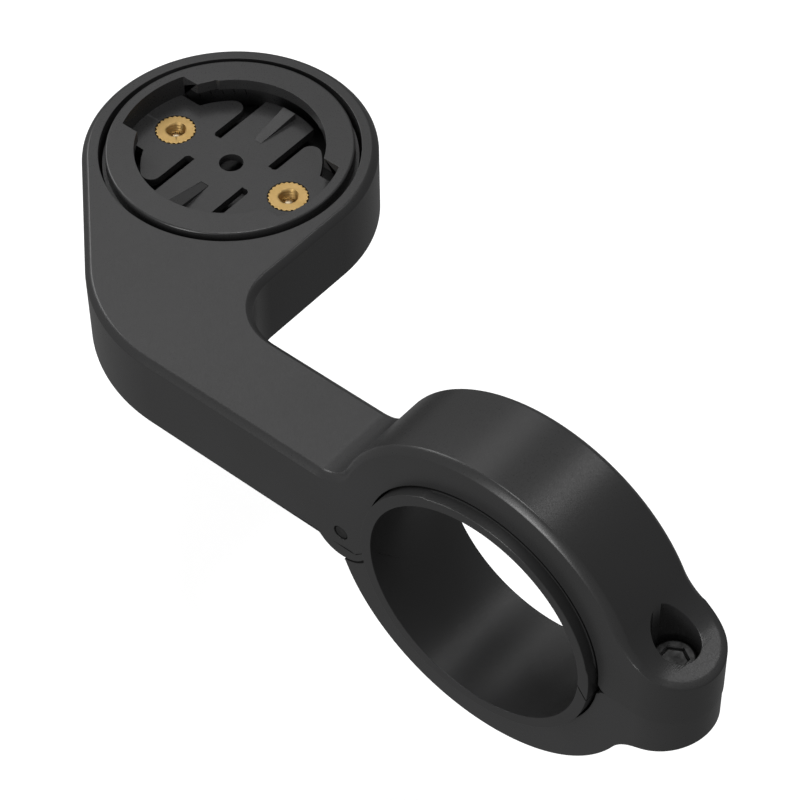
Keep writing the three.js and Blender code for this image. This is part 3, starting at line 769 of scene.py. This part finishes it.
def puck_blank():
    top, edge = PUCK_TOP_Z, PUCK_ROUNDING
    rounding = [(top - edge + edge * math.sin(a), PUCK_RADIUS - edge + edge * math.cos(a))
                for a in (math.radians(d) for d in (0, 18, 36, 54, 72, 90))]
    rows = [
        (FLOOR_BOTTOM_Z, 0), (FLOOR_BOTTOM_Z, POCKET_RADIUS), (PUCK_BOTTOM_Z, POCKET_RADIUS),
        (PUCK_BOTTOM_Z, SKIRT_RADIUS), (SKIRT_TOP_Z, SKIRT_RADIUS), (SKIRT_TOP_Z, PUCK_RADIUS),
    ]
    return turned("puck", rows + rounding + [(top, 0)], HEAD_CENTRE, segments=240)


def puck_opening():
    """Everything above the floor that the computer's foot sweeps through."""
    lead = math.radians(50)
    reach = math.sqrt(POCKET_RADIUS**2 - NOTCH_HALF**2)
    notch_deg = math.degrees(math.atan2(reach, NOTCH_HALF))
    corner = math.sqrt(LIP_RADIUS**2 - NOTCH_HALF**2)
    corner_deg = math.degrees(math.atan2(corner, NOTCH_HALF))
    facet_end = (LIP_RADIUS * 1.02 * math.cos(lead), LIP_RADIUS * 1.02 * math.sin(lead))
    outline = []
    for turn in (1, -1):
        part = arc(0, 0, LIP_RADIUS, -corner_deg, 49, 2)
        part += [facet_end, (NOTCH_HALF, corner + 0.1)]
        part += arc(0, 0, POCKET_RADIUS, notch_deg, 180 - notch_deg, 2)
        outline += [(turn * x, turn * y) for x, y in part]
    return prism_up("tool", about_head(outline), FLOOR_TOP_Z, FAR)


def floor_cuts(side):
    """Free edge of the floor on one side, the slots, and the room for the tongue."""
    low, high = FLOOR_BOTTOM_Z - 0.5, FLOOR_TOP_Z + 0.3
    gap_deg = math.degrees(math.acos(GAP_START_X / FLOOR_RADIUS))
    wall_deg = math.degrees(math.acos(GAP_START_X / POCKET_RADIUS))
    rounding = 1.5
    centre_y = SLOT_Y + SLOT_HALF + rounding
    centre_x = math.sqrt((FLOOR_RADIUS - rounding) ** 2 - centre_y**2)
    turn_deg = math.degrees(math.atan2(centre_y, centre_x))
    upper = arc(0, 0, FLOOR_RADIUS, gap_deg, turn_deg, 2)
    upper += arc(centre_x, centre_y, rounding, turn_deg, -90, 8)[1:]
    slot_end = arc(SLOT_INNER_X, SLOT_Y, SLOT_HALF, 90, 180, 12)
    slot_end += [(SLOT_INNER_X - SLOT_HALF, SLOT_Y - 0.02), (ROOT_FACE_X, SLOT_Y - 0.02)]
    slot_end.append((ROOT_FACE_X, 0))
    half = upper + slot_end
    mirrored = [(x, -y) for x, y in reversed(half[:-1])]
    wall = arc(0, 0, POCKET_RADIUS, -wall_deg, wall_deg, 2)
    outline = half + mirrored + wall
    return prism_up("tool", about_head(outline, side), low, high)


def at_root(a, b):
    """Edges where a tongue grows out of the floor stay sharp, so that no seam shows."""
    return all(
        abs(abs(p.x - HEAD_X) - TONGUE_ROOT_X) < 0.2 and abs(p.y - HEAD_Y) < SLOT_Y
        for p in (a, b)
    )


def make_puck():
    puck = puck_blank()
    groove_rows = [
        (FLOOR_TOP_Z, 0), (FLOOR_TOP_Z, POCKET_RADIUS),
        (LIP_UNDERSIDE_Z, POCKET_RADIUS), (LIP_UNDERSIDE_Z, 0),
    ]
    cut(
        puck,
        turned("tool", groove_rows, HEAD_CENTRE, segments=240),
        puck_opening(),
        floor_cuts(1),
        floor_cuts(-1),
        cylinder(CENTRE_HOLE_RADIUS, -FAR, FAR, HEAD_CENTRE, segments=64),
    )
    for side in (-1, 1):
        at = (HEAD_X, HEAD_Y + side * INSERT_OFFSET_Y, 0)
        boss = cylinder(INSERT_BOSS_RADIUS, PUCK_BOTTOM_Z, FLOOR_BOTTOM_Z + 0.3, at)
        combine(puck, boss, "UNION")
        cut(puck, cylinder(INSERT_HOLE_RADIUS, -FAR, FAR, at))
    return place(
        dress(puck, FINE_EDGE, leave=at_root), "quarter_turn_puck", "mount"
    )


def make_tongue(side, name):
    """Springy tongue and its ramp, which grows out of the puck's floor at its root."""
    half = SLOT_Y - SLOT_HALF
    tip = math.degrees(math.asin(half / TONGUE_TIP_RADIUS))
    outline = arc(0, 0, TONGUE_TIP_RADIUS, -tip, tip, 2)
    along = [7.5, 6.0, 5.0, 4.2, 3.5, 3.2, ROOT_FACE_X + 0.004]
    outline += [(x, half) for x in along] + [(x, -half) for x in reversed(along)]
    tongue = prism_up("tongue", about_head(outline, side), FLOOR_BOTTOM_Z, FLOOR_TOP_Z)
    foot = FLOOR_TOP_Z - 0.3
    ramp = []
    for x, wide, rise in ((5.3, 0.65, 0.02), (12.0, 1.1, 1.0)):
        high = FLOOR_TOP_Z + rise
        ring = [(-wide, foot), (wide, foot), (wide, high), (-wide, high)]
        ramp.append([(HEAD_X + side * x, HEAD_Y + side * y, z) for y, z in ring])
    combine(tongue, skin("tool", ramp), "UNION")
    dress(tongue, FINE_EDGE, leave=at_root)
    return place_bending(tongue, name)


def place_bending(tongue, name):
    node = "detent_tongue_" + name
    tongue.name = "piece_" + node
    tongue.data.name = tongue.name
    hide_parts(node)
    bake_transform(tongue)
    return tongue


# ------------------------------------------------------------------ materials


def new_material(name):
    material = bpy.data.materials.new(name)
    material.use_nodes = True
    tree = material.node_tree
    return material, tree, tree.nodes["Principled BSDF"]


def noise(tree, scale, detail=2.0, roughness=0.5):
    coordinates = tree.nodes.new("ShaderNodeTexCoord")
    texture = tree.nodes.new("ShaderNodeTexNoise")
    texture.inputs["Scale"].default_value = scale
    texture.inputs["Detail"].default_value = detail
    texture.inputs["Roughness"].default_value = roughness
    tree.links.new(coordinates.outputs["Object"], texture.inputs["Vector"])
    return texture.outputs["Fac"]


def ranged(tree, value, low, high):
    node = tree.nodes.new("ShaderNodeMapRange")
    node.inputs["From Min"].default_value = 0.3
    node.inputs["From Max"].default_value = 0.7
    node.inputs["To Min"].default_value = low
    node.inputs["To Max"].default_value = high
    tree.links.new(value, node.inputs["Value"])
    return node.outputs["Result"]


def tint(tree, value, dark, light):
    ramp = tree.nodes.new("ShaderNodeValToRGB")
    ramp.color_ramp.elements[0].position = 0.3
    ramp.color_ramp.elements[1].position = 0.7
    ramp.color_ramp.elements[0].color = (*dark, 1)
    ramp.color_ramp.elements[1].color = (*light, 1)
    tree.links.new(value, ramp.inputs["Fac"])
    return ramp.outputs["Color"]


def bump(tree, shader, height, strength, distance):
    node = tree.nodes.new("ShaderNodeBump")
    node.inputs["Strength"].default_value = strength
    node.inputs["Distance"].default_value = distance
    tree.links.new(height, node.inputs["Height"])
    tree.links.new(node.outputs["Normal"], shader.inputs["Normal"])


def moulded_plastic(name, grey, rough):
    """Black satin plastic with a fine spark-eroded grain and faint flow marks."""
    material, tree, shader = new_material(name)
    grain = noise(tree, 5200, 3.0, 0.6)
    flow = noise(tree, 60, 2.0)
    dark = [grey * 0.93] * 3
    light = [grey * 1.07, grey * 1.07, grey * 1.09]
    tree.links.new(tint(tree, flow, dark, light), shader.inputs["Base Color"])
    tree.links.new(ranged(tree, grain, rough - 0.05, rough + 0.06), shader.inputs["Roughness"])
    shader.inputs["Specular IOR Level"].default_value = 0.5
    shader.inputs["IOR"].default_value = 1.5
    bump(tree, shader, grain, 0.18, 0.00003)
    return material


def metal(name, dark, light, rough, scale=900):
    """Turned or pressed metal with fine tool marks."""
    material, tree, shader = new_material(name)
    marks = noise(tree, scale, 4.0, 0.65)
    tree.links.new(tint(tree, marks, dark, light), shader.inputs["Base Color"])
    tree.links.new(ranged(tree, marks, rough - 0.06, rough + 0.1), shader.inputs["Roughness"])
    shader.inputs["Metallic"].default_value = 1.0
    bump(tree, shader, marks, 0.12, 0.00003)
    return material


# ------------------------------------------------------------------ pieces

body = make_mount_body()
jaw = make_jaw()
pin = make_pin()
sleeve = make_sleeve()
washer = make_washer()
bolt = make_bolt()
nut = make_nut()
puck = make_puck()
tongues = [make_tongue(1, "right"), make_tongue(-1, "left")]
inserts = [make_insert(1, "front"), make_insert(-1, "rear")]
screws = [make_screw(1, "front"), make_screw(-1, "rear")]

FINISHES = [
    (moulded_plastic("moulded_black", 0.03, 0.31), [body]),
    # The jaw's copy of the black plastic is painted a little lighter than the body's (0.033 against
    # 0.03): painted light for the brighter shading on the ear below the split.
    (moulded_plastic("moulded_black_jaw", 0.033, 0.31), [jaw]),
    (moulded_plastic("puck_black", 0.03, 0.3), [puck] + tongues),
    (moulded_plastic("sleeve_black", 0.028, 0.36), [sleeve]),
    (metal("bolt_black", (0.1, 0.1, 0.1), (0.16, 0.16, 0.16), 0.36), [bolt, washer]),
    (metal("pin_black", (0.05, 0.05, 0.05), (0.08, 0.08, 0.08), 0.4), [pin]),
    (metal("nut_zinc", (0.55, 0.55, 0.56), (0.68, 0.68, 0.7), 0.32), [nut]),
    (metal("insert_brass", (0.62, 0.41, 0.15), (0.76, 0.52, 0.22), 0.42), inserts),
    (metal("screw_bright", (0.66, 0.56, 0.38), (0.8, 0.7, 0.52), 0.28), screws),
]
for material, pieces in FINISHES:
    for piece in pieces:
        piece.data.materials.clear()
        piece.data.materials.append(material)
        for polygon in piece.data.polygons:
            polygon.material_index = 0

# ------------------------------------------------------------------ floor, light and camera

FLOOR_DROP = 0.045
FLOOR_GLOW = 0.5
FLOOR_HALF_MM = 3000
floor_z = CAD_BOX[0][2] - FLOOR_DROP
turns = ((-1, -1), (1, -1), (1, 1), (-1, 1))
corners = [(x * FLOOR_HALF_MM, y * FLOOR_HALF_MM, 0) for x, y in turns]
floor = add_mesh("floor", corners, [(0, 1, 2, 3)])
floor.location.z = floor_z
# The floor glows a little, so that it stays pale and even, and throws no light on the object.
paint, paint_tree, paint_shader = new_material("floor_paint")
floor_tone = tint(paint_tree, noise(paint_tree, 3.0), (0.86, 0.86, 0.86), (0.88, 0.88, 0.88))
paint_tree.links.new(floor_tone, paint_shader.inputs["Base Color"])
paint_shader.inputs["Roughness"].default_value = 0.9
paint_shader.inputs["Emission Color"].default_value = (1.0, 1.0, 1.0, 1.0)
paint_shader.inputs["Emission Strength"].default_value = FLOOR_GLOW
floor.data.materials.append(paint)
floor.visible_diffuse = False
floor.visible_glossy = False

scene = bpy.context.scene
scene.view_settings.view_transform = "Standard"
world = bpy.data.worlds.new("studio")
scene.world = world
world.use_nodes = True
background = world.node_tree.nodes["Background"]
background.inputs["Color"].default_value = (1.0, 1.0, 1.0, 1.0)
background.inputs["Strength"].default_value = 0.2

TARGET = Vector((0.010, 0.030, 0.0))
LAMP_DISTANCE = 0.9


def towards(azimuth, elevation):
    """Direction from the object; azimuth 0 is straight behind it, and both are in radians."""
    level = math.cos(elevation)
    return Vector((math.sin(azimuth) * level, -math.cos(azimuth) * level, math.sin(elevation)))


def softbox(name, azimuth, elevation, size, power):
    """Soft round lamp aimed at the object from this azimuth and elevation in degrees."""
    direction = towards(math.radians(azimuth), math.radians(elevation))
    light = bpy.data.lights.new(name, "AREA")
    light.shape = "DISK"
    light.size = size
    light.energy = power
    obj = bpy.data.objects.new(name, light)
    obj.location = TARGET + direction * LAMP_DISTANCE
    obj.rotation_euler = direction.to_track_quat("Z", "Y").to_euler()
    scene.collection.objects.link(obj)


softbox("low_left", 270, 10, 0.4, 3.2)
softbox("upper_left", 270, 30, 0.4, 1.3)
softbox("overhead", 0, 88, 0.4, 2.6)
softbox("front", 175, 35, 0.5, 2.2)
# These two give the flat tops their sheen and the clamp ring its streak.
softbox("sheen", 140, 50, 0.35, 0.4)
softbox("streak", 68, 56, 0.2, 0.4)

# A long lens, looking down on the mount from behind and to the left, a little rolled.
CAMERA_PLACE = Vector((-183.63, -139.20, 289.67)) * MM
CAMERA_SENSOR_MM = 36
CAMERA_LENS_MM = 137.5065
CAMERA_SHIFT = (0.00755, -0.002475)
CAMERA_AZIMUTH = math.radians(-49.31)
CAMERA_ELEVATION = math.radians(48.25)
CAMERA_ROLL = math.radians(-0.96)

camera_data = bpy.data.cameras.new("camera")
camera_data.lens = CAMERA_LENS_MM
camera_data.sensor_width = CAMERA_SENSOR_MM
camera_data.shift_x, camera_data.shift_y = CAMERA_SHIFT
camera_data.clip_start = 0.01
camera_data.clip_end = 20
camera = bpy.data.objects.new("camera", camera_data)
back = towards(CAMERA_AZIMUTH, CAMERA_ELEVATION)
level = Vector((math.cos(CAMERA_AZIMUTH), math.sin(CAMERA_AZIMUTH), 0))
right = level * math.cos(CAMERA_ROLL) + back.cross(level) * math.sin(CAMERA_ROLL)
turned_axes = Matrix((right, back.cross(right), back)).transposed().to_4x4()
camera.matrix_world = Matrix.Translation(CAMERA_PLACE) @ turned_axes
scene.collection.objects.link(camera)
scene.camera = camera

bpy.context.view_layer.update()
